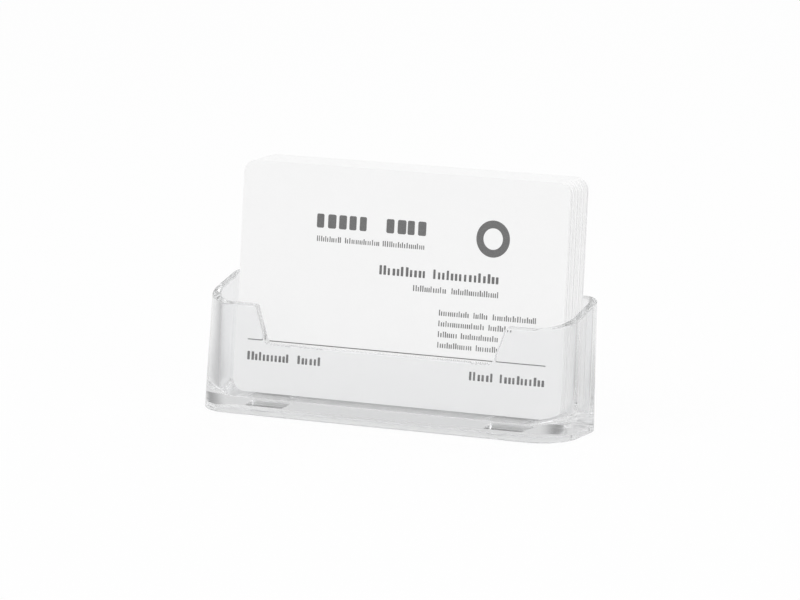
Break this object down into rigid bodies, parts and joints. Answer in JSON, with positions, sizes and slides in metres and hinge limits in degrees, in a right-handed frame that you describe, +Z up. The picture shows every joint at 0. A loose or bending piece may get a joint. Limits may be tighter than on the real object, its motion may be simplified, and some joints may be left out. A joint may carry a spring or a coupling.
{
  "type": "business card holder",
  "caption": "Clear moulded desk tray with leaning walls and a wide thumb notch, holding a pack of round-cornered cards.",
  "frame": {"origin": "middle of the whole object's box, at its lowest face, on the table", "axes": "+X along the tray's length, to the right as seen from the front; +Y to the back, the way the cards lean; +Z up"},
  "size_m": [0.0966, 0.025, 0.0585],
  "materials": {
    "clear_plastic": "crystal clear, polished, moulded",
    "card_board": "smooth uncoated white card"
  },
  "bodies": {
    "holder": {"tray": "clear_plastic"},
    "front_card": {"front_card": "card_board"},
    "card_pack": {"card_02": "card_board", "card_03": "card_board", "card_04": "card_board", "card_05": "card_board", "card_06": "card_board", "card_07": "card_board", "card_08": "card_board", "card_09": "card_board", "card_10": "card_board", "card_11": "card_board", "card_12": "card_board", "card_13": "card_board", "card_14": "card_board", "card_15": "card_board", "card_16": "card_board", "card_17": "card_board", "card_18": "card_board", "card_19": "card_board", "card_20": "card_board", "card_21": "card_board", "card_22": "card_board", "card_23": "card_board", "card_24": "card_board", "card_25": "card_board"}
  },
  "joints": [
    {"name": "front_card_lift", "type": "slide", "parent": "holder", "child": "front_card", "axis": [0, 0.1141, 0.9935], "range_m": [0, 0.045]},
    {"name": "card_pack_lift", "type": "slide", "parent": "holder", "child": "card_pack", "axis": [0, 0.1141, 0.9935], "range_m": [0, 0.045]}
  ]
}
